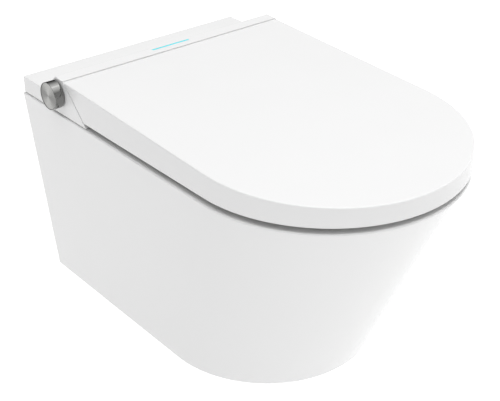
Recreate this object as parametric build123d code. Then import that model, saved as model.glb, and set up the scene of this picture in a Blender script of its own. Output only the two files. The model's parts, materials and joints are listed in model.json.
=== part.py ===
from build123d import *
import math
import os

# A wall-hung shower toilet: a ceramic pan with an electric bidet seat docked on its deck.
# Row frame, millimetres: X to the right seen from the front, the wall is the plane y = 0 and
# the front faces -Y, +Z up. The origin is on the wall, midway between the two wall studs.

# ---- Plan outline: straight sides and a half-round nose ----
WIDTH = 380.0
LENGTH = 612.0
NOSE_R = WIDTH / 2
NOSE_Y = NOSE_R - LENGTH

# ---- Heights ----
PAN_BOTTOM_Z = -229.0
RIM_Z = 76.0
UNIT_Z = 78.0
DECK_TOP_Z = 101.0
RIDGE_Z = 129.0
LID_EDGE_Z = 84.5
LID_FALL = 0.0388

# ---- Ceramic pan ----
PAN_TOP_HALF = 191.5
PAN_TOP_NOSE_Y = PAN_TOP_HALF - LENGTH
PAN_FOOT_HALF = 158.7
PAN_FOOT_NOSE_Y = -313.5
PAN_WALL = 12.0
WALL_TRIM = 10.0
PAN_BACK = 16.0
PAN_DECK = 15.0
BOWL_SKIN = 11.0
RIM_ROUND = 2.0
FOOT_ROUND = 2.5
# bowl sections from rim to sump: height, middle, half width, half length
BOWL_SECTIONS = [
    (RIM_Z + 2, -388.0, 120.0, 151.0),
    (20.0, -386.0, 108.0, 142.0),
    (-60.0, -374.0, 84.0, 112.0),
    (-140.0, -345.0, 56.0, 70.0),
    (-206.0, -325.0, 38.0, 42.0),
]
STUD_SPACING = 180.0
STUD_HOLE_R = 6.5
BUSH_R = 11.0
OUTLET_Z = -100.0
OUTLET_R = 51.0
OUTLET_WALL = 7.0
TRAP_R = 34.0
OUTLET_START_Y = -112.0
# middle of the way from the sump up over the weir
TRAP_WAY = [(0, -312, -176), (0, -186, -58)]
WASTE_WINDOW_HALF = 140.0
WASTE_WINDOW_TOP_Z = -36.0
FLUSH_Z = 35.0
FLUSH_SOCKET_R = 27.5
FLUSH_WAY_R = 18.0
FLUSH_SOCKET_LONG = 45.0
SERVICE_X = 145.0
SERVICE_HALF = 20.0
SERVICE_Y = (-105.0, -20.0)

# ---- Mounting plate under the seat unit ----
PLATE_HOLE_SPACING = 155.0
PLATE_Y = -128.0
PLATE_BOLT_R = 4.0
PLATE_HALF = 100.0
PLATE_FLANGE_HALF = 108.0
PLATE_LOW_TOP_Z = 81.0
PLATE_TOP_Z = 84.0
PLATE_FRONT_Y = -148.0
PLATE_BACK_Y = -108.0
DOCK_BACK_Y = -64.8
DOCK_TOP_Z = 86.4

# ---- Seat unit casing ----
SKIN = 3.0
RIDGE_FRONT_Y = -112.0
RIDGE_BACK_Y = -92.0
RIDGE_FOOT_Y = -60.0
TRAY_TOP_Z = 81.0
CORNER_R = 2.5
CASING_ROUND = 1.5
SEAM = 1.8
RIDGE_STEP = 1.0
CASING_SCREW_X = 180.0
CASING_SCREW_Y = (-12.0, -128.0)

# ---- Hinge line ----
HINGE_Y = -100.0
HINGE_Z = 117.0
ROTOR_R = 4.0
RUN = 0.08
KNUCKLE_R = 7.0
DAMPER_R = 8.0
ARM_LOW_Z = 93.3
ARM_TOP_Z = 99.8
NECK_Y = (-106.0, -99.0)
SLOT_LOW_Z = 92.0
SLOT_BACK_Y = -91.5
DAMPER_X = (62.0, 92.0)
SEAT_ARM_X = (99.0, 113.0)
LID_ARM_X = (117.0, 131.0)
EAR_X = (137.0, 143.0)
POCKET_X = (96.0, 134.0)

# ---- Lid ----
LID_SKIN = 3.2
LID_ROUND = 2.0
LID_END_Z = 103.0
LID_WEB = 4.2
LINER_THICK = 2.0
LINER_DROP = 3.6

# ---- Seat ring ----
SEAT_HALF = 183.0
SEAT_LOW_Z = 85.0
SEAT_PLATE_Z = 88.0
SEAT_DROP = 8.4
SEAT_SKIN = 3.0
SEAT_GAP = 6.0
SWEEP_GAP = 0.6
HOLE_Y = -385.0
HOLE_HALF_W = 112.0
HOLE_HALF_L = 146.0
REAR_RELIEF_HALF = 75.0
REAR_RELIEF_Z = 101.0
REAR_RELIEF_Y = -206.0
BUFFER_SPOTS = [(-140.0, -250.0), (140.0, -250.0), (-105.0, -530.0), (105.0, -530.0)]

# ---- Washing wand, two stages ----
WAND_TILT = 16.0
WAND_Y = -144.0
WAND_Z = 86.0
WAND_R = 7.0
WAND_INNER_R = 5.0
WAND_FIT = 0.06
WAND_LONG = 64.0

# ---- Control knob on the left cheek ----
KNOB_Y = -96.0
KNOB_Z = 107.0
KNOB_R = 19.8
KNOB_LIP = 0.7
KNOB_GROOVE = 0.5
KNOB_INSIDE_X = -191.7
KNOB_FACE_X = -205.5
KNOB_STEM_R = 3.0
KNOB_BUSH_R = 5.0

# ---- Light bar in the ridge ----
LIGHT_LONG = 65.0
LIGHT_WIDE = 3.0
LIGHT_Y = -98.5

# ---- Quick release on the right cheek ----
BUTTON_Y = -100.0
BUTTON_Z = 87.0

# ---- Water inlet, G 1/2 ----
INLET_R = 10.4
INLET_LOW_Z = 62.0

# ---- Dryer ----
FAN_X = 80.0
FAN_Y = -35.0
FAN_R = 29.0
IMPELLER_R = 24.0
FLAP_X = (28.0, 60.0)
FLAP_TOP_Z = 96.5
FLAP_LONG = 14.5
FLAP_PIN_R = 0.85


def block(x, y, z):
    """Box between the two ends given for each axis."""
    size = [abs(b - a) for a, b in (x, y, z)]
    middle = [(a + b) / 2 for a, b in (x, y, z)]
    return Pos(*middle) * Box(*size)


def rod(start, end, radius):
    """Round bar between two points."""
    begin = Vector(*start)
    reach = Vector(*end) - begin
    place = Plane(origin=begin, z_dir=reach)
    return place * Cylinder(radius, reach.length, align=(Align.CENTER, Align.CENTER, Align.MIN))


def on_hinge(x):
    """Point of the hinge line."""
    return (x, HINGE_Y, HINGE_Z)


def tube(start, end, radius, bore):
    """Round tube between two points."""
    return rod(start, end, radius) - rod(start, end, bore)


def across(points, x):
    """Prism of a (y, z) outline between two x planes."""
    outline = Polyline(*[(min(x), y, z) for y, z in points], close=True)
    return extrude(make_face(outline), amount=abs(x[1] - x[0]), dir=(1, 0, 0))


def both_sides(x, side):
    """The x span, on the side given as -1 or 1."""
    return (side * x[0], side * x[1])


def d_face(half, back_y, nose_y, z):
    """Flat face with straight sides and a half-round nose."""
    rim = Polyline((-half, nose_y, z), (-half, back_y, z), (half, back_y, z), (half, nose_y, z))
    nose = ThreePointArc((half, nose_y, z), (0, nose_y - half, z), (-half, nose_y, z))
    return make_face(rim + nose)


def d_plate(half, back_y, nose_y, low, high):
    """Level plate of that outline."""
    return extrude(d_face(half, back_y, nose_y, low), amount=high - low, dir=(0, 0, 1))


def lid_top(y):
    """Height of the lid's sloping top."""
    return RIDGE_Z - LID_FALL * (RIDGE_FRONT_Y - y)


def ridge_top(y):
    """Height of the ridge, which runs on at the lid's slope, a small step above it."""
    return lid_top(y) + RIDGE_STEP


def under_slope(drop):
    """Everything below a plane that lies the given drop under the lid's top."""
    back, front = 0.0, -LENGTH - 20
    outline = [(back, -300), (back, lid_top(back) - drop), (front, lid_top(front) - drop), (front, -300)]
    return across(outline, (-300, 300))


def slant_y(z, gap=0.0):
    """Where the casing's slanted face, or a plane the gap in front of it, is at one height."""
    return RIDGE_FRONT_Y - (RIDGE_Z - z) - gap * math.sqrt(2)


def ahead_of_slant(gap):
    """Everything in front of the casing's slanted face, the gap away from it."""
    shift = gap * math.sqrt(2)
    top_z = RIDGE_Z + 60
    top_y = RIDGE_FRONT_Y + 60 - shift
    foot_z = PAN_BOTTOM_Z
    foot_y = RIDGE_FRONT_Y - (RIDGE_Z - foot_z) - shift
    front_y = -LENGTH - 400
    return across([(top_y, top_z), (front_y, top_z), (front_y, foot_z), (foot_y, foot_z)], (-300, 300))


def wand_point(along, up=0.0, x=0.0):
    """Point in the wand's own frame: along its way out, and up from its axis."""
    tilt = math.radians(WAND_TILT)
    y = WAND_Y - along * math.cos(tilt) - up * math.sin(tilt)
    z = WAND_Z - along * math.sin(tilt) + up * math.cos(tilt)
    return (x, y, z)


def wand_box(half, along, up):
    """Box laid along the wand's axis."""
    corners = [(along[0], up[0]), (along[1], up[0]), (along[1], up[1]), (along[0], up[1])]
    return across([wand_point(a, u)[1:] for a, u in corners], (-half, half))


# ---------------------------------------------------------------- pan

def pan_face(z, inset, back_y):
    """Cut through the pan's tapering body at one height."""
    part = (RIM_Z - z) / (RIM_Z - PAN_BOTTOM_Z)
    half = PAN_TOP_HALF + (PAN_FOOT_HALF - PAN_TOP_HALF) * part - inset
    nose_y = PAN_TOP_NOSE_Y + (PAN_FOOT_NOSE_Y - PAN_TOP_NOSE_Y) * part
    return d_face(half, back_y, nose_y, z)


def bowl(extra, drop):
    """The bowl's inside, or its outer skin when made larger."""
    rings = [
        Pos(0, y, z - drop) * Ellipse(half_w + extra, half_l + extra)
        for z, y, half_w, half_l in BOWL_SECTIONS
    ]
    return loft(rings)


def passage(points, radius):
    """Round way through a row of points, with round corners."""
    way = Sphere(radius).locate(Location(points[0]))
    for start, end in zip(points, points[1:]):
        way += rod(start, end, radius)
        way += Pos(*end) * Sphere(radius)
    return way


def free_edges(shape, level):
    """Edges of the lowest (0) or highest (-1) outline, without the one on the wall."""
    ring = shape.edges().group_by(Axis.Z)[level]
    return ring.filter_by(lambda edge: edge.center().Y < -1)


def ceramic_pan():
    outer = loft([pan_face(RIM_Z, 0, WALL_TRIM), pan_face(PAN_BOTTOM_Z, 0, WALL_TRIM)], ruled=True)
    outer = fillet(free_edges(outer, -1), RIM_ROUND)
    outer = fillet(free_edges(outer, 0), FOOT_ROUND)
    outer -= block((-WIDTH, WIDTH), (0, 2 * WALL_TRIM), (PAN_BOTTOM_Z - 1, RIM_Z + 1))
    low_z = PAN_BOTTOM_Z + PAN_WALL
    high_z = RIM_Z - PAN_DECK
    hollow = loft([pan_face(high_z, PAN_WALL, -PAN_BACK), pan_face(low_z, PAN_WALL, -PAN_BACK)], ruled=True)
    outlet_in, outlet_out = (0, OUTLET_START_Y, OUTLET_Z), (0, 0, OUTLET_Z)
    trap = [*TRAP_WAY, outlet_in]
    flush_start, flush_bend, flush_end = (0, 0, FLUSH_Z), (0, -60, FLUSH_Z), (0, -245, -6)

    skins = bowl(BOWL_SKIN, BOWL_SKIN / 2)
    skins += passage(trap, TRAP_R + 9)
    skins += rod(outlet_in, outlet_out, OUTLET_R)
    skins += passage([flush_start, flush_bend, flush_end], FLUSH_WAY_R + 12)
    skins += rod((0, 0, FLUSH_Z), (0, -FLUSH_SOCKET_LONG - 9, FLUSH_Z), FLUSH_SOCKET_R + 8)
    skins += wand_box(30, (-40, 140), (-24, 40))
    body = outer - (hollow - skins)

    window_x = (-WASTE_WINDOW_HALF, WASTE_WINDOW_HALF)
    window = block(window_x, (-PAN_BACK - 1, 1), (low_z + 10, WASTE_WINDOW_TOP_Z))
    body -= window - rod((0, -PAN_BACK - 2, OUTLET_Z), outlet_out, OUTLET_R)
    body -= bowl(0, 0)
    body -= passage(trap, TRAP_R)
    body -= rod(outlet_in, (0, 1, OUTLET_Z), OUTLET_R - OUTLET_WALL)
    body -= passage([flush_bend, flush_end], FLUSH_WAY_R)
    body -= rod((0, 1, FLUSH_Z), (0, -FLUSH_SOCKET_LONG, FLUSH_Z), FLUSH_SOCKET_R)
    body -= rod((0, 1, FLUSH_Z), flush_bend, FLUSH_WAY_R)
    body -= wand_box(18, (-6, 140), (-11, 60))
    for side in (-1, 1):
        stud_x = side * STUD_SPACING / 2
        body -= rod((stud_x, 1, 0), (stud_x, -PAN_BACK - 1, 0), BUSH_R)
        bolt_x = side * PLATE_HOLE_SPACING / 2
        body -= rod((bolt_x, PLATE_Y, high_z - 1), (bolt_x, PLATE_Y, RIM_Z + 1), PLATE_BOLT_R + 3)
        span = (side * SERVICE_X - SERVICE_HALF, side * SERVICE_X + SERVICE_HALF)
        body -= block(span, SERVICE_Y, (high_z - 1, RIM_Z + 1))
    return body


def stud_bushes():
    """Nylon sleeves that centre the pan on its wall studs."""
    bushes = []
    for side in (-1, 1):
        x = side * STUD_SPACING / 2
        bushes.append(tube((x, 0, 0), (x, -PAN_BACK, 0), BUSH_R, STUD_HOLE_R))
    return Compound(children=bushes)


# ---------------------------------------------------------------- plate that the unit docks on

def mounting_plate():
    plate = block((-PLATE_HALF, PLATE_HALF), (PLATE_FRONT_Y, PLATE_BACK_Y), (RIM_Z, PLATE_TOP_Z))
    for side in (-1, 1):
        edge = (side * PLATE_HALF, side * PLATE_FLANGE_HALF)
        plate += block(edge, (PLATE_FRONT_Y, PLATE_BACK_Y), (PLATE_LOW_TOP_Z, PLATE_TOP_Z))
        x = side * PLATE_HOLE_SPACING / 2
        plate -= rod((x, PLATE_Y, RIM_Z - 1), (x, PLATE_Y, PLATE_TOP_Z + 1), PLATE_BOLT_R + 0.3)
        plate -= rod((x, PLATE_Y, RIM_Z + 3), (x, PLATE_Y, PLATE_TOP_Z + 1), 9.0)
    plate -= block((-34, 34), (PLATE_FRONT_Y - 1, PLATE_BACK_Y + 1), (RIM_Z - 1, PLATE_TOP_Z + 1))
    bridge = block((-34, 34), (PLATE_BACK_Y - 8, PLATE_BACK_Y), (RIM_Z, RIM_Z + 1.6))
    return plate + bridge


def plate_fixings():
    """Bolts, washers and nuts of the mounting plate."""
    bolts, washers, nuts = [], [], []
    under = RIM_Z - PAN_DECK
    for side in (-1, 1):
        x = side * PLATE_HOLE_SPACING / 2
        shank = rod((x, PLATE_Y, under - 18), (x, PLATE_Y, RIM_Z + 4), PLATE_BOLT_R)
        head = rod((x, PLATE_Y, RIM_Z + 4), (x, PLATE_Y, RIM_Z + 7.6), 7.0)
        slot = block((x - 8, x + 8), (PLATE_Y - 0.8, PLATE_Y + 0.8), (RIM_Z + 6, RIM_Z + 9))
        bolts.append(shank + head - slot)
        washers.append(tube((x, PLATE_Y, RIM_Z + 3), (x, PLATE_Y, RIM_Z + 4), 8.5, PLATE_BOLT_R))
        cone = tube((x, PLATE_Y, under - 4), (x, PLATE_Y, under), 12.0, PLATE_BOLT_R)
        nut_face = Pos(x, PLATE_Y, under - 12) * RegularPolygon(7.5, 6)
        nut = extrude(nut_face, amount=8)
        nut -= rod((x, PLATE_Y, under - 13), (x, PLATE_Y, under - 3), PLATE_BOLT_R)
        nuts.append(nut + cone)
    return Compound(children=bolts), Compound(children=washers), Compound(children=nuts)


# ---------------------------------------------------------------- seat unit casing

def casing_outline(inset):
    """Side view of the casing: low rear deck, ridge and 45 degree front face."""
    lean = inset * math.tan(math.radians(22.5))
    back_z = ridge_top(RIDGE_BACK_Y)
    back_slope = math.atan2(back_z - DECK_TOP_Z, RIDGE_FOOT_Y - RIDGE_BACK_Y)
    turn = inset * math.tan(back_slope / 2)
    if inset:
        front_corner = [(RIDGE_FRONT_Y + lean, RIDGE_Z - inset)]
    else:
        front_corner = [(RIDGE_FRONT_Y, ridge_top(RIDGE_FRONT_Y)), (RIDGE_FRONT_Y, RIDGE_Z)]
    return [
        (-inset, UNIT_Z - 1 if inset else UNIT_Z),
        (-inset, DECK_TOP_Z - inset),
        (RIDGE_FOOT_Y - turn, DECK_TOP_Z - inset),
        (RIDGE_BACK_Y - turn, back_z - inset),
        *front_corner,
        (RIDGE_FRONT_Y - (RIDGE_Z - UNIT_Z) + (inset * math.sqrt(2) if inset else 0) - (1 if inset else 0),
         UNIT_Z - 1 if inset else UNIT_Z),
    ]


def hinge_pocket(side, x, grow):
    """Well that the hinge arms turn in, open through the slanted face and roofed by the ridge."""
    low_z = SLOT_LOW_Z - grow
    top_z = RIDGE_Z - SKIN
    back_y = SLOT_BACK_Y + grow
    outline = [(back_y, low_z), (back_y, top_z), (slant_y(top_z, 1), top_z), (slant_y(low_z, 1), low_z)]
    return across(outline, both_sides(x, side))


def light_room(top_z):
    """Slot of the light bar, up to the given height."""
    half_x, half_y = LIGHT_LONG / 2, LIGHT_WIDE / 2
    return block((-half_x, half_x), (LIGHT_Y - half_y, LIGHT_Y + half_y), (RIDGE_Z - 5, top_z))


def top_cover():
    outer = across(casing_outline(0), (-NOSE_R, NOSE_R))
    back_corners = outer.edges().filter_by(Axis.Z).filter_by(lambda edge: edge.center().Y > -1)
    outer = fillet(back_corners, CORNER_R)
    top_edges = outer.edges().filter_by(lambda edge: edge.center().Z > DECK_TOP_Z - 0.1)
    top_edges = top_edges.filter_by(lambda edge: edge.center().Y > RIDGE_FRONT_Y + 1)
    outer = fillet(top_edges.filter_by(lambda edge: abs(edge.center().Y - RIDGE_FOOT_Y) > 1), CASING_ROUND)
    cover = outer - across(casing_outline(SKIN), (SKIN - NOSE_R, NOSE_R - SKIN))
    for side in (-1, 1):
        wall = (POCKET_X[0] - 2, POCKET_X[1] + 2)
        cover += hinge_pocket(side, wall, 2) & outer
        cover -= hinge_pocket(side, POCKET_X, 0)
        cover -= arm_bore((POCKET_X[0] - 2, POCKET_X[1] + 2), side, ROTOR_R + 0.6)
        for y in CASING_SCREW_Y:
            x = side * CASING_SCREW_X
            boss = rod((x, y, TRAY_TOP_Z), (x, y, RIDGE_Z), 4.0) & outer
            cover += boss - rod((x, y, TRAY_TOP_Z - 1), (x, y, TRAY_TOP_Z + 12), 1.5)
    wall = (SKIN - NOSE_R + 1, -NOSE_R - 1)
    cover -= rod((wall[0], KNOB_Y, KNOB_Z), (wall[1], KNOB_Y, KNOB_Z), KNOB_BUSH_R + 0.3)
    button_y = (BUTTON_Y - 8.4, BUTTON_Y + 8.4)
    cover -= block((-wall[0], -wall[1]), button_y, (BUTTON_Z - 4.4, BUTTON_Z + 4.4))
    cover -= light_room(RIDGE_Z + 3)
    cover -= block((-10, 10), (-200, -120), (UNIT_Z - 2, 95.5))
    flap_low_z = FLAP_TOP_Z - FLAP_LONG * math.sqrt(0.5)
    cover -= block((FLAP_X[0] - 0.5, FLAP_X[1] + 0.5), (-175, -125), (flap_low_z - 0.6, FLAP_TOP_Z + 1.6))
    cover -= flap_pin(FLAP_PIN_R + RUN)
    return cover


def base_tray():
    """Floor of the unit, with the dock under it and the hinge stands on it."""
    side_x = NOSE_R - SKIN - 0.4
    front_y = RIDGE_FRONT_Y - (RIDGE_Z - TRAY_TOP_Z) + SKIN * math.sqrt(2) + 0.5
    tray = block((-side_x, side_x), (front_y, -SKIN - 0.4), (UNIT_Z, TRAY_TOP_Z))
    dock_x = PLATE_FLANGE_HALF + 4
    dock = block((-dock_x, dock_x), (front_y, DOCK_BACK_Y), (TRAY_TOP_Z, DOCK_TOP_Z))
    tray += dock & across(casing_outline(SKIN + 0.3), (-dock_x, dock_x))
    flange_way = PLATE_FLANGE_HALF + 0.6
    plate_way = (PLATE_FRONT_Y - 1.5, DOCK_BACK_Y - 2)
    tray -= block((-flange_way, flange_way), plate_way, (TRAY_TOP_Z - 0.4, PLATE_TOP_Z + 0.5))
    tray -= block((-PLATE_HALF - 0.5, PLATE_HALF + 0.5), plate_way, (UNIT_Z - 1, TRAY_TOP_Z))
    for side in (-1, 1):
        lip_free = (side * PLATE_HALF, side * flange_way)
        tray -= block(lip_free, (PLATE_BACK_Y - 1, DOCK_BACK_Y - 2), (UNIT_Z - 1, TRAY_TOP_Z))
        cradle_x = both_sides((DAMPER_X[0] + 4, DAMPER_X[1] - 4), side)
        cradle = block(cradle_x, (HINGE_Y - DAMPER_R, HINGE_Y + DAMPER_R), (DOCK_TOP_Z - 1, HINGE_Z - 4))
        tray += cradle - rod(on_hinge(side * DAMPER_X[0]), on_hinge(side * DAMPER_X[1]), DAMPER_R)
        ear = block(both_sides(EAR_X, side), (HINGE_Y - 7, HINGE_Y + 7), (TRAY_TOP_Z, HINGE_Z + 7.5))
        tray += ear - rod(on_hinge(side * 130), on_hinge(side * 150), ROTOR_R + RUN)
        for y in CASING_SCREW_Y:
            x = side * CASING_SCREW_X
            tray -= rod((x, y, UNIT_Z - 1), (x, y, TRAY_TOP_Z + 1), 1.7)
            tray -= rod((x, y, UNIT_Z - 1), (x, y, UNIT_Z + 1.8), 3.2)
        tray -= rod((side * SERVICE_X, -40, UNIT_Z - 1), (side * SERVICE_X, -40, TRAY_TOP_Z + 1), 9.0)
    tray -= block((-10, 10), (-200, -100), (UNIT_Z - 2, DOCK_TOP_Z + 2))
    latch_way = (BUTTON_Y - 2, BUTTON_Y + 2)
    tray -= block((PLATE_FLANGE_HALF, EAR_X[1] + 1), latch_way, (TRAY_TOP_Z + 0.2, BUTTON_Z + 5))
    return tray


def casing_screws():
    screws = []
    for side in (-1, 1):
        for y in CASING_SCREW_Y:
            x = side * CASING_SCREW_X
            head = rod((x, y, UNIT_Z + 0.2), (x, y, UNIT_Z + 1.8), 3.0)
            shank = rod((x, y, UNIT_Z + 1.8), (x, y, TRAY_TOP_Z + 10), 1.5)
            recess = block((x - 2, x + 2), (y - 0.4, y + 0.4), (UNIT_Z, UNIT_Z + 1))
            screws.append(head + shank - recess)
    return Compound(children=screws)


# ---------------------------------------------------------------- hinges

def damper(side):
    """Slow-close damper: a sealed barrel round the hinge line."""
    barrel = rod(on_hinge(side * DAMPER_X[0]), on_hinge(side * DAMPER_X[1]), DAMPER_R)
    barrel = chamfer(barrel.edges().filter_by(GeomType.CIRCLE), 1.0)
    bore_x = (side * (DAMPER_X[0] + 14), side * (DAMPER_X[1] + 1))
    return barrel - rod(on_hinge(bore_x[0]), on_hinge(bore_x[1]), ROTOR_R + RUN)


def rotor(side):
    """Hinge shaft, turned by the arm that it is keyed to."""
    shaft = rod(on_hinge(side * (DAMPER_X[0] + 15)), on_hinge(side * EAR_X[1]), ROTOR_R)
    return chamfer(shaft.edges().filter_by(GeomType.CIRCLE), 0.5)


def arm_bore(x, side, radius):
    return rod(on_hinge(side * (x[0] - 1)), on_hinge(side * (x[1] + 1)), radius)


def hinge_arm(x, side, gap):
    """Swan-neck arm: down from the hinge line, then forward through the slanted face."""
    outline = [
        (NECK_Y[1], HINGE_Z),
        (NECK_Y[1], ARM_LOW_Z),
        (slant_y(ARM_LOW_Z, gap), ARM_LOW_Z),
        (slant_y(ARM_TOP_Z, gap), ARM_TOP_Z),
        (NECK_Y[0], ARM_TOP_Z),
        (NECK_Y[0], HINGE_Z),
    ]
    reach = both_sides(x, side)
    return across(outline, reach) + rod(on_hinge(reach[0]), on_hinge(reach[1]), KNUCKLE_R)


# ---------------------------------------------------------------- lid

def lid_shell():
    back_y = RIDGE_FRONT_Y + 4
    body = d_plate(NOSE_R, back_y, NOSE_Y, LID_EDGE_Z, 160) & under_slope(0)
    body = body & ahead_of_slant(SEAM)
    top_edges = body.faces().filter_by(lambda face: face.normal_at().Z > 0.9).edges()
    body = fillet(top_edges.filter_by(lambda edge: edge.center().Y < RIDGE_FRONT_Y - 5), LID_ROUND)
    room = d_plate(NOSE_R - LID_SKIN, back_y + 5, NOSE_Y, LID_EDGE_Z - 1, 160) & under_slope(LID_SKIN)
    body -= room & ahead_of_slant(SEAM + LID_SKIN)
    body -= room & block((-WIDTH, WIDTH), (-LENGTH, 0), (0, LID_END_Z))
    web_top_z = RIDGE_Z - 2
    web_gap = SEAM + LID_WEB
    web = [
        (slant_y(ARM_LOW_Z, SEAM), ARM_LOW_Z),
        (slant_y(web_top_z, SEAM), web_top_z),
        (slant_y(web_top_z, web_gap), web_top_z),
        (slant_y(ARM_LOW_Z, web_gap), ARM_LOW_Z),
    ]
    for side in (-1, 1):
        body += across(web, both_sides(LID_ARM_X, side))
        body += hinge_arm(LID_ARM_X, side, SEAM + LID_WEB / 2)
        body -= arm_bore(LID_ARM_X, side, ROTOR_R if side < 0 else ROTOR_R + RUN)
    return body


def lid_liner():
    """Inner panel of the lid, close under its outer shell."""
    half = NOSE_R - LID_SKIN - 1.2
    liner = d_plate(half, RIDGE_FRONT_Y - 30, NOSE_Y, 80, 160)
    liner = liner & under_slope(LINER_DROP)
    return liner - under_slope(LINER_DROP + LINER_THICK)


def lid_buffers():
    """Rubber pads that the lid rests on the seat with."""
    pads = []
    for x, y in BUFFER_SPOTS:
        low = lid_top(y) - LINER_DROP - LINER_THICK - 2.1
        pads.append(rod((x, y, low), (x, y, low + 6), 7.0) & under_slope(LINER_DROP + LINER_THICK))
    return Compound(children=pads)


# ---------------------------------------------------------------- seat ring

def seat_hole(extra, low, high):
    """Oval opening of the seat ring."""
    oval = Pos(0, HOLE_Y, low) * Ellipse(HOLE_HALF_W + extra, HOLE_HALF_L + extra)
    return extrude(oval, amount=high - low, dir=(0, 0, 1))


def hinge_distance(z, gap):
    """How far a point at the given height, the gap ahead of the slanted face, is from the hinge line."""
    return math.hypot(slant_y(z, gap) - HINGE_Y, z - HINGE_Z)


def lid_sweep(extra):
    """Space that the lid's end wall and its two webs turn through."""
    wall_r = hinge_distance(LID_END_Z, SEAM + LID_SKIN) + SWEEP_GAP + extra
    web_r = hinge_distance(ARM_LOW_Z, SEAM + LID_WEB) + SWEEP_GAP + extra
    sweep = rod(on_hinge(-WIDTH / 2), on_hinge(WIDTH / 2), wall_r)
    for side in (-1, 1):
        begin, end = both_sides((LID_ARM_X[0] - 1 - extra, LID_ARM_X[1] + 1 + extra), side)
        sweep += rod(on_hinge(begin), on_hinge(end), web_r)
    return sweep


def seat_form(half, low, drop, hole_extra, gap):
    """Ring between a level underside and the sloping top."""
    back_y = RIDGE_FRONT_Y
    form = d_plate(half, back_y, NOSE_Y, low, 160) & under_slope(drop)
    form = form & ahead_of_slant(gap)
    return form - seat_hole(hole_extra, low - 1, 165)


def seat_upper():
    ring = seat_form(SEAT_HALF, SEAT_PLATE_Z, SEAT_DROP, 0, SEAT_GAP) - lid_sweep(0)
    inner_half = SEAT_HALF - SEAT_SKIN
    cavity = seat_form(inner_half, SEAT_PLATE_Z - 1, SEAT_DROP + SEAT_SKIN, SEAT_SKIN, SEAT_GAP + SEAT_SKIN)
    cavity -= lid_sweep(SEAT_SKIN)
    relief = block((-REAR_RELIEF_HALF, REAR_RELIEF_HALF), (REAR_RELIEF_Y, -100), (60, REAR_RELIEF_Z))
    roof_half = REAR_RELIEF_HALF + SEAT_SKIN
    roof = block((-roof_half, roof_half), (REAR_RELIEF_Y - SEAT_SKIN, -100), (60, REAR_RELIEF_Z + SEAT_SKIN))
    ring -= cavity - roof
    ring -= relief
    for side in (-1, 1):
        ring += hinge_arm(SEAT_ARM_X, side, SEAT_GAP + SEAT_SKIN / 2)
        ring -= arm_bore(SEAT_ARM_X, side, ROTOR_R if side > 0 else ROTOR_R + RUN)
    return ring


def seat_lower():
    """Bottom plate that closes the seat ring."""
    plate = seat_form(SEAT_HALF, SEAT_LOW_Z, SEAT_DROP, 0, SEAT_GAP)
    plate = plate & block((-200, 200), (-LENGTH, 0), (SEAT_LOW_Z, SEAT_PLATE_Z))
    relief = block((-REAR_RELIEF_HALF, REAR_RELIEF_HALF), (REAR_RELIEF_Y, -100), (60, REAR_RELIEF_Z))
    return plate - relief


def seat_heater():
    """Heating foil stuck under the seat's top."""
    outer = seat_form(SEAT_HALF - 8, SEAT_PLATE_Z, SEAT_DROP + SEAT_SKIN, 8, SEAT_GAP + 60)
    return outer - under_slope(SEAT_DROP + SEAT_SKIN + 0.6)


def seat_buffers():
    pads = []
    for x, y in BUFFER_SPOTS:
        foot = rod((x, y, RIM_Z + 0.3), (x, y, SEAT_LOW_Z), 9.0)
        pads.append(foot)
    return Compound(children=pads)


# ---------------------------------------------------------------- knob

def on_knob(x):
    return (x, KNOB_Y, KNOB_Z)


def knob_parts():
    """Rim, face disc, stem, grub screw, sliding bush and encoder of the knob."""
    rim = rod(on_knob(KNOB_INSIDE_X), on_knob(KNOB_FACE_X), KNOB_R)
    rim = fillet(rim.edges().filter_by(GeomType.CIRCLE), 0.5)
    rim -= rod(on_knob(KNOB_FACE_X - 1), on_knob(KNOB_FACE_X + 2), KNOB_R - KNOB_LIP)
    rim -= rod(on_knob(KNOB_INSIDE_X + 1), on_knob(KNOB_INSIDE_X - 2), KNOB_R - 3)
    rim -= rod(on_knob(KNOB_INSIDE_X + 1), on_knob(KNOB_FACE_X + 4), KNOB_STEM_R)
    screw_x = KNOB_INSIDE_X - 6.5
    screw_foot = (screw_x, KNOB_Y, KNOB_Z - KNOB_STEM_R - 0.2)
    screw_top = (screw_x, KNOB_Y, KNOB_Z - KNOB_R)
    rim -= rod(on_knob(screw_x), (screw_x, KNOB_Y, KNOB_Z - KNOB_R - 1), 2.0)
    screw = rod(screw_foot, (screw_x, KNOB_Y, KNOB_Z - KNOB_R + 1.5), 2.0)
    screw -= rod((screw_x, KNOB_Y, KNOB_Z - KNOB_R + 4), screw_top, 1.0)
    face = rod(on_knob(KNOB_FACE_X + 0.4), on_knob(KNOB_FACE_X + 2), KNOB_R - KNOB_LIP - KNOB_GROOVE)
    stem = rod(on_knob(KNOB_FACE_X + 4), on_knob(-172), KNOB_STEM_R)
    bush = tube(on_knob(-190.5), on_knob(-176), KNOB_BUSH_R, KNOB_STEM_R + RUN)
    encoder = block((-174.5, -160), (KNOB_Y - 11, KNOB_Y + 11), (KNOB_Z - 11, KNOB_Z + 9))
    encoder -= rod(on_knob(-175), on_knob(-168.5), KNOB_STEM_R + 0.4)
    return {"knob_rim": rim, "knob_face": face, "knob_stem": stem, "knob_screw": screw,
            "knob_bush": bush, "knob_encoder": encoder}


# ---------------------------------------------------------------- washing

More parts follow.
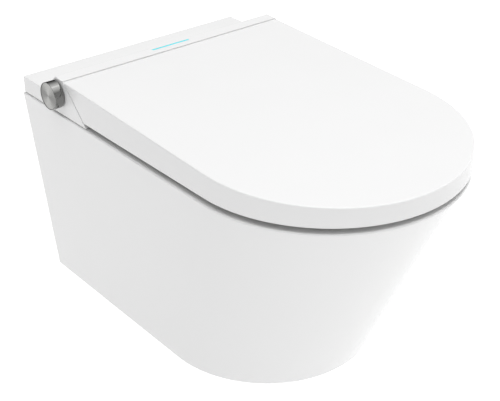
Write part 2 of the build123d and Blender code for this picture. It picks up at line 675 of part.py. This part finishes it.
def wand_parts():
    """Guide, motor and the two telescoping stages of the wand."""
    guide = wand_box(12, (-52, -14), (-9.5, 9.5)) & block((-20, 20), (-200, 0), (DOCK_TOP_Z, 140))
    guide -= rod(wand_point(-60), wand_point(0), WAND_R + WAND_FIT)
    outer = tube(wand_point(-WAND_LONG), wand_point(0), WAND_R, WAND_INNER_R + WAND_FIT)
    inner = rod(wand_point(-WAND_LONG + 2), wand_point(0.4), WAND_INNER_R)
    inner -= rod(wand_point(-WAND_LONG + 1), wand_point(-3), 2.6)
    tip = rod(wand_point(0.4), wand_point(6), WAND_R)
    tip = fillet(tip.edges().filter_by(GeomType.CIRCLE).sort_by(Axis.Y)[0], 2.0)
    tip -= rod(wand_point(3.4, 3), wand_point(3.4, 9), 0.9)
    motor = block((-40, -14), (-128, -92), (DOCK_TOP_Z + 0.1, 104))
    motor += rod((-27, -110, 104), (-27, -110, 110), 11)
    return {"wand_guide": guide, "wand_outer": outer, "wand_inner": inner, "wand_tip": tip,
            "wand_motor": motor}


def water_parts():
    """Inlet, valve, heater and pump on the unit's floor."""
    floor = TRAY_TOP_Z + 0.2
    inlet = tube((SERVICE_X, -40, INLET_LOW_Z), (SERVICE_X, -40, floor + 3), 8.8, 5.0)
    inlet += tube((SERVICE_X, -40, INLET_LOW_Z), (SERVICE_X, -40, INLET_LOW_Z + 14), INLET_R, 5.0)
    valve = block((122, 168), (-62, -14), (floor + 3, 96)) + rod((145, -40, 90), (116, -40, 90), 4)
    valve += block((150, 166), (-56, -26), (95, 97.4))
    heater = block((-20, 40), (-58, -8), (floor, 95))
    for x in (-12, 32):
        heater += rod((x, -57, 90), (x, -66, 90), 3.2)
    pump = rod((162, -121, 100), (162, -80, 100), 11.5)
    pump += block((152, 172), (-94, -80), (floor, 96))
    return {"water_inlet": inlet, "inlet_valve": valve, "water_heater": heater, "water_pump": pump}


def electric_parts():
    """Boards, power module, light bar and cable gland."""
    floor = TRAY_TOP_Z + 0.2
    board = block((-172, -88), (-60, -10), (floor + 3, floor + 4.6))
    for x, y, wide, tall in ((-160, -22, 12, 6), (-140, -30, 18, 3), (-112, -24, 10, 9), (-104, -48, 16, 4)):
        board += block((x - wide / 2, x + wide / 2), (y - 5, y + 5), (floor + 4.6, floor + 4.6 + tall))
    for x in (-168, -92):
        for y in (-56, -14):
            board += rod((x, y, floor), (x, y, floor + 3), 2.2)
    power = block((-82, -26), (-58, -8), (floor, 96))
    for fin in range(6):
        y = -54 + fin * 8.4
        power -= block((-78, -30), (y, y + 3), (94, 97))
    bar = light_room(ridge_top(LIGHT_Y))
    strip = block((-36, 36), (LIGHT_Y - 5, LIGHT_Y + 5), (RIDGE_Z - 7.4, RIDGE_Z - 5.8))
    for led in range(7):
        x = -27 + led * 9
        strip += block((x - 1.4, x + 1.4), (LIGHT_Y - 1.2, LIGHT_Y + 1.2), (RIDGE_Z - 5.8, RIDGE_Z - 5.1))
    gland = rod((-SERVICE_X, -40, 66), (-SERVICE_X, -40, floor + 2), 8.8)
    gland += extrude(Pos(-SERVICE_X, -40, 66) * RegularPolygon(10.5, 6), amount=8)
    gland -= rod((-SERVICE_X, -40, 65), (-SERVICE_X, -40, floor + 3), 4.0)
    odour = block((-178, -148), (-122, -86), (floor, 94)) - block((-175, -151), (-120, -90), (92, 95))
    return {"control_board": board, "power_module": power, "led_bar": bar, "led_board": strip,
            "cable_gland": gland, "odour_filter": odour}


def flap_pin(radius):
    """Pin along the flap's top edge, in the middle of the casing's skin."""
    pin_y = RIDGE_FRONT_Y - (RIDGE_Z - FLAP_TOP_Z) + SKIN / math.sqrt(2)
    return rod((FLAP_X[0] - 2, pin_y, FLAP_TOP_Z), (FLAP_X[1] + 2, pin_y, FLAP_TOP_Z), radius)


def dryer_parts():
    """Blower scroll, impeller, duct and the flap over the air port."""
    floor = TRAY_TOP_Z + 0.2
    scroll = rod((FAN_X, FAN_Y, floor), (FAN_X, FAN_Y, 97), FAN_R)
    scroll += block((FAN_X - FAN_R, FAN_X - 3), (-64, FAN_Y), (floor, 97))
    scroll -= rod((FAN_X, FAN_Y, floor + 1.8), (FAN_X, FAN_Y, 95.4), FAN_R - 2)
    scroll -= block((FAN_X - FAN_R + 2, FAN_X - 5), (-65, FAN_Y), (floor + 1.8, 95.4))
    scroll -= rod((FAN_X, FAN_Y, 94), (FAN_X, FAN_Y, 98), 13.0)
    hub_pin = rod((FAN_X, FAN_Y, floor + 1.5), (FAN_X, FAN_Y, floor + 9), 2.0)
    scroll += hub_pin
    wheel_low, wheel_high = floor + 3, 94.6
    wheel = rod((FAN_X, FAN_Y, wheel_low), (FAN_X, FAN_Y, wheel_low + 1.4), IMPELLER_R)
    wheel += rod((FAN_X, FAN_Y, wheel_low), (FAN_X, FAN_Y, wheel_low + 9), 6.0)
    for blade in range(18):
        fin = block((17.5, IMPELLER_R - 0.4), (-0.6, 0.6), (wheel_low + 1, wheel_high))
        wheel += Pos(FAN_X, FAN_Y, 0) * Rot(0, 0, blade * 20) * fin
    wheel -= rod((FAN_X, FAN_Y, wheel_low - 1), (FAN_X, FAN_Y, wheel_low + 7), 2.0 + RUN)
    duct_x = (FAN_X - FAN_R, FAN_X - 3)
    low_z = DOCK_TOP_Z + 0.2
    duct = block(duct_x, (-78, -64.2), (low_z, 97))
    duct -= block((duct_x[0] + 2, duct_x[1] - 2), (-79, -64), (low_z + 1.6, 95.2))
    duct_mid = block((FLAP_X[0] + 2, 60.5), (-136, -78), (low_z, 96.5))
    duct_mid -= block((FLAP_X[0] + 4, 58.5), (-140, -80), (low_z + 1.6, 94.8))
    duct_mid -= block((duct_x[0] + 2, 58.5), (-82, -77), (low_z + 1.6, 94.8))
    flap_face_y = RIDGE_FRONT_Y - (RIDGE_Z - FLAP_TOP_Z)
    step = FLAP_LONG * math.sqrt(0.5)
    thick = 1.8 * math.sqrt(2)
    leaf = [(flap_face_y, FLAP_TOP_Z), (flap_face_y - step, FLAP_TOP_Z - step),
            (flap_face_y - step + thick, FLAP_TOP_Z - step), (flap_face_y + thick, FLAP_TOP_Z)]
    flap = across(leaf, FLAP_X) + flap_pin(FLAP_PIN_R)
    return {"dryer_blower": scroll, "dryer_impeller": wheel, "dryer_duct": duct + duct_mid,
            "dryer_flap": flap}


# ---------------------------------------------------------------- quick release

def release_parts():
    """Side button and the latch bar that it pushes."""
    button = block((184.5, 191.0), (BUTTON_Y - 8, BUTTON_Y + 8), (BUTTON_Z - 4, BUTTON_Z + 4))
    button = fillet(button.edges().filter_by(Axis.X), 3.0)
    latch = block((PLATE_FLANGE_HALF + 6, 184.5), (BUTTON_Y - 1.5, BUTTON_Y + 1.5), (81.6, 86.2))
    latch += block((178, 184.5), (BUTTON_Y - 1.5, BUTTON_Y + 1.5), (81.6, BUTTON_Z + 3))
    return {"release_button": button, "release_latch": latch}


def build():
    bolts, washers, nuts = plate_fixings()
    parts = {
        "ceramic_pan": ceramic_pan(),
        "stud_bushes": stud_bushes(),
        "mounting_plate": mounting_plate(),
        "plate_bolts": bolts,
        "plate_washers": washers,
        "plate_nuts": nuts,
        "base_tray": base_tray(),
        "top_cover": top_cover(),
        "casing_screws": casing_screws(),
        "lid_damper": damper(-1),
        "seat_damper": damper(1),
        "lid_rotor": rotor(-1),
        "seat_rotor": rotor(1),
        "lid_shell": lid_shell(),
        "lid_liner": lid_liner(),
        "lid_buffers": lid_buffers(),
        "seat_upper": seat_upper(),
        "seat_lower": seat_lower(),
        "seat_heater": seat_heater(),
        "seat_buffers": seat_buffers(),
    }
    for make in (knob_parts, wand_parts, water_parts, electric_parts, dryer_parts, release_parts):
        parts.update(make())
    return parts


os.makedirs("parts", exist_ok=True)
for name, shape in build().items():
    export_step(shape, f"parts/{name}.step")
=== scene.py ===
import json
import math

import bpy
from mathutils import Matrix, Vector


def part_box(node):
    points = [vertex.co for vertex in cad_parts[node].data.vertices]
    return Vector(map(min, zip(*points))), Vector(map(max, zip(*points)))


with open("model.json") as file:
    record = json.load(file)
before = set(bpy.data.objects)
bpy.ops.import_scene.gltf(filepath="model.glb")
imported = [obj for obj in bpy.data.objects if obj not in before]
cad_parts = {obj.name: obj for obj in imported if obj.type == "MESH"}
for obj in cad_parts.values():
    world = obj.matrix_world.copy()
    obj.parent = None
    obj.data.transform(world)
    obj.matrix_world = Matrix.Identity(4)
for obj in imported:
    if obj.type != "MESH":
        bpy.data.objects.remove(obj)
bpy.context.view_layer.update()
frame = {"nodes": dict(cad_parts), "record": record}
NODES = frame["nodes"]

# ---- Camera: the viewing angle, the distance and the point looked at, in metres ----
VIEW_AZIMUTH = math.radians(-39.67)
VIEW_ELEVATION = math.radians(28.11)
VIEW_DISTANCE = 1.4953
VIEW_TARGET = Vector((-0.0421, -0.3253, 0.0350))
LENS_MM = 80.8
SENSOR_MM = 36.0
SHIFT_X = 0.0037
SHIFT_Y = -0.0648

# ---- Knob ----
KNOB_LOW, KNOB_HIGH = (Vector(corner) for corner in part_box("knob_face"))
KNOB_MIDDLE = (KNOB_LOW + KNOB_HIGH) / 2

# ---- Spun metal: turned rings, and a painted sheen: dark and light fans of highlight and shade painted into its colour ----
# Colour of the painted shade fans on the spun face, as a share of its full colour
PAINTED_SHEEN_DARK = 0.48
SPUN_ANISOTROPY = 0.75
RING_SCALE = 380.0
RING_WEIGHT = 0.15
RING_DEPTH = 0.00004
# Number of painted light fans, and as many painted dark fans, per turn of the knob face
PAINTED_SHEEN_FANS = 2.0

# ---- Plain surfaces ----
CLOUD_SCALE = 9.0
GRAIN_DEPTH = 0.0002

# ---- Light bar ----
BAR_GLOW = (0.01, 0.92, 1.0)

# ---- Room, in metres: the soft sky's lobes are direction, power and gain ----
FLOOR_Z = -0.320
FLOOR_HALF = 30.0
FLOOR_GLOW = 0.90
SKY_BASE = 0.06
SKY_LOBES = [((0, -0.12, 1), 3, 2.60), ((1, 0, 0.1), 4, 0.97)]
TOP_LIGHT = {"place": (0.2, -0.4, 2.2), "size": 1.2, "power": 3}
LIGHT_AIM = (0, -0.3, 0)
FLOOR_GREY = 0.3
FLOOR_GREY_SPREAD = 0.01


# ------------------------------------------------------------ materials

def new_material(name, color, roughness, metallic=0.0, **sockets):
    """Principled material; the constants go straight on the shader's sockets."""
    material = bpy.data.materials.new(name)
    material.use_nodes = True
    shader = material.node_tree.nodes["Principled BSDF"]
    shader.inputs["Base Color"].default_value = (*color, 1.0)
    shader.inputs["Roughness"].default_value = roughness
    shader.inputs["Metallic"].default_value = metallic
    for socket, value in sockets.items():
        shader.inputs[socket.replace("_", " ")].default_value = value
    return material, material.node_tree, shader


def noise(tree, scale, detail=2.0):
    """Noise texture on the object's own coordinates."""
    texture = tree.nodes.new("ShaderNodeTexNoise")
    texture.inputs["Scale"].default_value = scale
    texture.inputs["Detail"].default_value = detail
    place = tree.nodes.new("ShaderNodeTexCoord")
    tree.links.new(place.outputs["Object"], texture.inputs["Vector"])
    return texture


def spread(tree, texture, low, high, target):
    """Maps a texture's middle range to low..high on a socket."""
    scale = tree.nodes.new("ShaderNodeMapRange")
    scale.inputs["From Min"].default_value = 0.3
    scale.inputs["From Max"].default_value = 0.7
    scale.inputs["To Min"].default_value = low
    scale.inputs["To Max"].default_value = high
    tree.links.new(texture.outputs["Fac"], scale.inputs["Value"])
    tree.links.new(scale.outputs["Result"], target)


def tint(tree, texture, dark, light, target):
    """Mixes two close colours by a texture."""
    mix = tree.nodes.new("ShaderNodeMix")
    mix.data_type = "RGBA"
    mix.inputs["A"].default_value = (*dark, 1.0)
    mix.inputs["B"].default_value = (*light, 1.0)
    tree.links.new(texture.outputs["Fac"], mix.inputs["Factor"])
    tree.links.new(mix.outputs["Result"], target)


def bump(tree, shader, texture, strength, distance):
    """Fine relief from a texture."""
    node = tree.nodes.new("ShaderNodeBump")
    node.inputs["Strength"].default_value = strength
    node.inputs["Distance"].default_value = distance
    tree.links.new(texture.outputs["Fac"], node.inputs["Height"])
    tree.links.new(node.outputs["Normal"], shader.inputs["Normal"])


def plain(name, color, roughness, grain=900.0, metallic=0.0, strength=0.05, vary=0.03):
    """Moulded or cast surface: slight tone and gloss changes and a fine surface texture."""
    material, tree, shader = new_material(name, color, roughness, metallic)
    cloud = noise(tree, CLOUD_SCALE, 3.0)
    dark = tuple(c * (1 - vary) for c in color)
    light = tuple(min(1.0, c * (1 + vary)) for c in color)
    tint(tree, cloud, dark, light, shader.inputs["Base Color"])
    spread(tree, cloud, roughness * 0.85, roughness * 1.15, shader.inputs["Roughness"])
    bump(tree, shader, noise(tree, grain), strength, GRAIN_DEPTH)
    return material


def math_node(tree, operation, *values):
    """Maths on numbers or links; gives the result's socket."""
    node = tree.nodes.new("ShaderNodeMath")
    node.operation = operation
    for socket, value in zip(node.inputs, values):
        if isinstance(value, (int, float)):
            socket.default_value = value
        else:
            tree.links.new(value, socket)
    return node.outputs["Value"]


def spun(name, color, roughness):
    """Metal turned on a lathe: rings about the knob's axis, and a painted sheen: dark and light fans of
    highlight and shade painted into the base colour.
    """
    material, tree, shader = new_material(name, color, roughness, 1.0, Anisotropic=SPUN_ANISOTROPY)
    place = tree.nodes.new("ShaderNodeTexCoord")
    middle = tree.nodes.new("ShaderNodeMapping")
    middle.vector_type = "POINT"
    middle.inputs["Location"].default_value = -KNOB_MIDDLE
    tree.links.new(place.outputs["Object"], middle.inputs["Vector"])
    rings = tree.nodes.new("ShaderNodeTexWave")
    rings.wave_type = "RINGS"
    rings.rings_direction = "X"
    rings.inputs["Scale"].default_value = RING_SCALE
    rings.inputs["Distortion"].default_value = 0.6
    rings.inputs["Detail"].default_value = 2.0
    tree.links.new(middle.outputs["Vector"], rings.inputs["Vector"])
    axes = tree.nodes.new("ShaderNodeSeparateXYZ")
    tree.links.new(middle.outputs["Vector"], axes.inputs["Vector"])
    turn = math_node(tree, "ARCTAN2", axes.outputs["Z"], axes.outputs["Y"])
    # Painted sheen: cos(2 * turn) paints two light fans and two dark fans of highlight and shade round the
    # knob's axis
    painted_fans = math_node(tree, "COSINE", math_node(tree, "MULTIPLY", turn, PAINTED_SHEEN_FANS))
    painted_sheen_range = tree.nodes.new("ShaderNodeMapRange")
    painted_sheen_range.inputs["From Min"].default_value = -1.0
    painted_sheen_range.inputs["To Min"].default_value = 1.0
    painted_sheen_range.inputs["To Max"].default_value = 0.0
    tree.links.new(painted_fans, painted_sheen_range.inputs["Value"])
    ringed = math_node(tree, "MULTIPLY", rings.outputs["Fac"], RING_WEIGHT)
    # Base colour: the painted sheen's dark and light colours, with the real turned rings added on top
    sheen_and_rings_mix = tree.nodes.new("ShaderNodeMix")
    sheen_and_rings_mix.data_type = "RGBA"
    sheen_and_rings_mix.inputs["A"].default_value = (*(c * PAINTED_SHEEN_DARK for c in color), 1.0)
    sheen_and_rings_mix.inputs["B"].default_value = (*color, 1.0)
    tree.links.new(math_node(tree, "ADD", painted_sheen_range.outputs["Result"], ringed), sheen_and_rings_mix.inputs["Factor"])
    tree.links.new(sheen_and_rings_mix.outputs["Result"], shader.inputs["Base Color"])
    bump(tree, shader, rings, 0.15, RING_DEPTH)
    tangent = tree.nodes.new("ShaderNodeTangent")
    tangent.direction_type = "RADIAL"
    tangent.axis = "X"
    tree.links.new(tangent.outputs["Tangent"], shader.inputs["Tangent"])
    return material


def glowing(name, color, strength):
    """Lit milky plastic with a slight unevenness in its glow."""
    material, tree, shader = new_material(name, color, 0.3)
    cloud = noise(tree, 40.0)
    tint(tree, cloud, color, tuple(min(1.0, c * 1.1) for c in color), shader.inputs["Base Color"])
    shader.inputs["Emission Color"].default_value = (*BAR_GLOW, 1.0)
    spread(tree, cloud, strength * 0.95, strength * 1.05, shader.inputs["Emission Strength"])
    return material


MATERIALS = {
    "glazed_ceramic": plain("glaze", (0.80, 0.80, 0.80), 0.10, grain=60.0, strength=0.04, vary=0.006),
    "white_gloss_plastic": plain("white_gloss", (0.80, 0.80, 0.80), 0.22, grain=700.0, vary=0.006),
    "white_matte_plastic": plain("white_satin", (0.78, 0.78, 0.77), 0.40, vary=0.01),
    "black_plastic": plain("black_moulding", (0.035, 0.036, 0.038), 0.45, strength=0.2, vary=0.1),
    "nylon": plain("nylon_natural", (0.72, 0.70, 0.64), 0.42, vary=0.03),
    "rubber_grey": plain("rubber_pad", (0.42, 0.42, 0.42), 0.7, strength=0.2, vary=0.05),
    "steel": plain("turned_steel", (0.58, 0.58, 0.58), 0.3, metallic=1.0, vary=0.05),
    "chrome_rim": plain("chrome", (0.24, 0.24, 0.235), 0.06, metallic=1.0, strength=0.02, vary=0.01),
    "spun_steel": spun("spun_face", (0.37, 0.37, 0.36), 0.27),
    "brass": plain("brass_turned", (0.72, 0.55, 0.25), 0.28, metallic=1.0, vary=0.05),
    "circuit_board": plain("solder_mask", (0.02, 0.16, 0.07), 0.35, vary=0.1),
    "heater_case": plain("cast_aluminium", (0.58, 0.58, 0.6), 0.42, metallic=1.0, strength=0.2, vary=0.05),
    "heating_foil": plain("foil", (0.66, 0.66, 0.66), 0.3, metallic=1.0, strength=0.2, vary=0.05),
    "light_bar": glowing("lit_diffuser", (0.01, 0.34, 0.38), 0.4),
}


def dress_nodes():
    """Gives every carried-over CAD node its material."""
    slots = {part["node"]: part["material_slot"] for part in frame["record"]["subparts"]}
    for name, node in NODES.items():
        material = MATERIALS[slots[name]]
        for index in range(len(node.material_slots)):
            node.material_slots[index].material = material
        if not node.material_slots:
            node.data.materials.append(material)


# ------------------------------------------------------------ room, light, camera

def make_floor():
    """Pale floor, bright enough to read as plain white."""
    mesh = bpy.data.meshes.new("floor")
    half = FLOOR_HALF
    corners = [(x, y, FLOOR_Z) for x, y in ((-half, -half), (half, -half), (half, half), (-half, half))]
    mesh.from_pydata(corners, [], [(0, 1, 2, 3)])
    floor = bpy.data.objects.new("floor", mesh)
    bpy.context.scene.collection.objects.link(floor)
    material, tree, shader = new_material("floor_paint", (FLOOR_GREY,) * 3, 0.9)
    dark, light = (FLOOR_GREY - FLOOR_GREY_SPREAD,) * 3, (FLOOR_GREY + FLOOR_GREY_SPREAD,) * 3
    tint(tree, noise(tree, 3.0), dark, light, shader.inputs["Base Color"])
    shader.inputs["Specular IOR Level"].default_value = 0.0
    shader.inputs["Emission Color"].default_value = (1, 1, 1, 1)
    shader.inputs["Emission Strength"].default_value = FLOOR_GLOW
    mesh.materials.append(material)


def top_light(place, size, power):
    """Large soft panel overhead."""
    data = bpy.data.lights.new("top_box", "AREA")
    data.shape = "RECTANGLE"
    data.size = data.size_y = size
    data.energy = power
    light = bpy.data.objects.new("top_box", data)
    bpy.context.scene.collection.objects.link(light)
    light.location = place
    light.rotation_euler = (Vector(LIGHT_AIM) - Vector(place)).to_track_quat("-Z", "Y").to_euler()


def sky_lobe(tree, direction, power, gain):
    """Soft light from one side of the room: gain * max(0, direction . ray) ** power."""
    place = tree.nodes.new("ShaderNodeTexCoord")
    dot = tree.nodes.new("ShaderNodeVectorMath")
    dot.operation = "DOT_PRODUCT"
    tree.links.new(place.outputs["Generated"], dot.inputs[0])
    dot.inputs[1].default_value = Vector(direction).normalized()
    clipped = math_node(tree, "MAXIMUM", dot.outputs["Value"], 0.0)
    shaped = math_node(tree, "POWER", clipped, power)
    return math_node(tree, "MULTIPLY", shaped, gain)


def make_light():
    """Soft studio light: dim round the horizon, bright overhead and brighter on the right."""
    world = bpy.data.worlds.new("studio")
    bpy.context.scene.world = world
    world.use_nodes = True
    tree = world.node_tree
    background = tree.nodes["Background"]
    background.inputs["Color"].default_value = (1, 1, 1, 1)
    total = SKY_BASE
    for direction, power, gain in SKY_LOBES:
        total = math_node(tree, "ADD", sky_lobe(tree, direction, power, gain), total)
    tree.links.new(total, background.inputs["Strength"])
    top_light(**TOP_LIGHT)


def make_camera():
    """Camera at the photograph's angle, aimed by azimuth and elevation about the point looked at."""
    data = bpy.data.cameras.new("photo_view")
    data.lens = LENS_MM
    data.sensor_width = SENSOR_MM
    data.shift_x = SHIFT_X
    data.shift_y = SHIFT_Y
    camera = bpy.data.objects.new("photo_view", data)
    bpy.context.scene.collection.objects.link(camera)
    flat = math.cos(VIEW_ELEVATION)
    back = Vector((flat * math.sin(VIEW_AZIMUTH), -flat * math.cos(VIEW_AZIMUTH), math.sin(VIEW_ELEVATION)))
    camera.location = VIEW_TARGET + back * VIEW_DISTANCE
    camera.rotation_euler = (-back).to_track_quat("-Z", "Y").to_euler()
    bpy.context.scene.camera = camera
    bpy.context.scene.view_settings.view_transform = "Standard"


dress_nodes()
make_floor()
make_light()
make_camera()
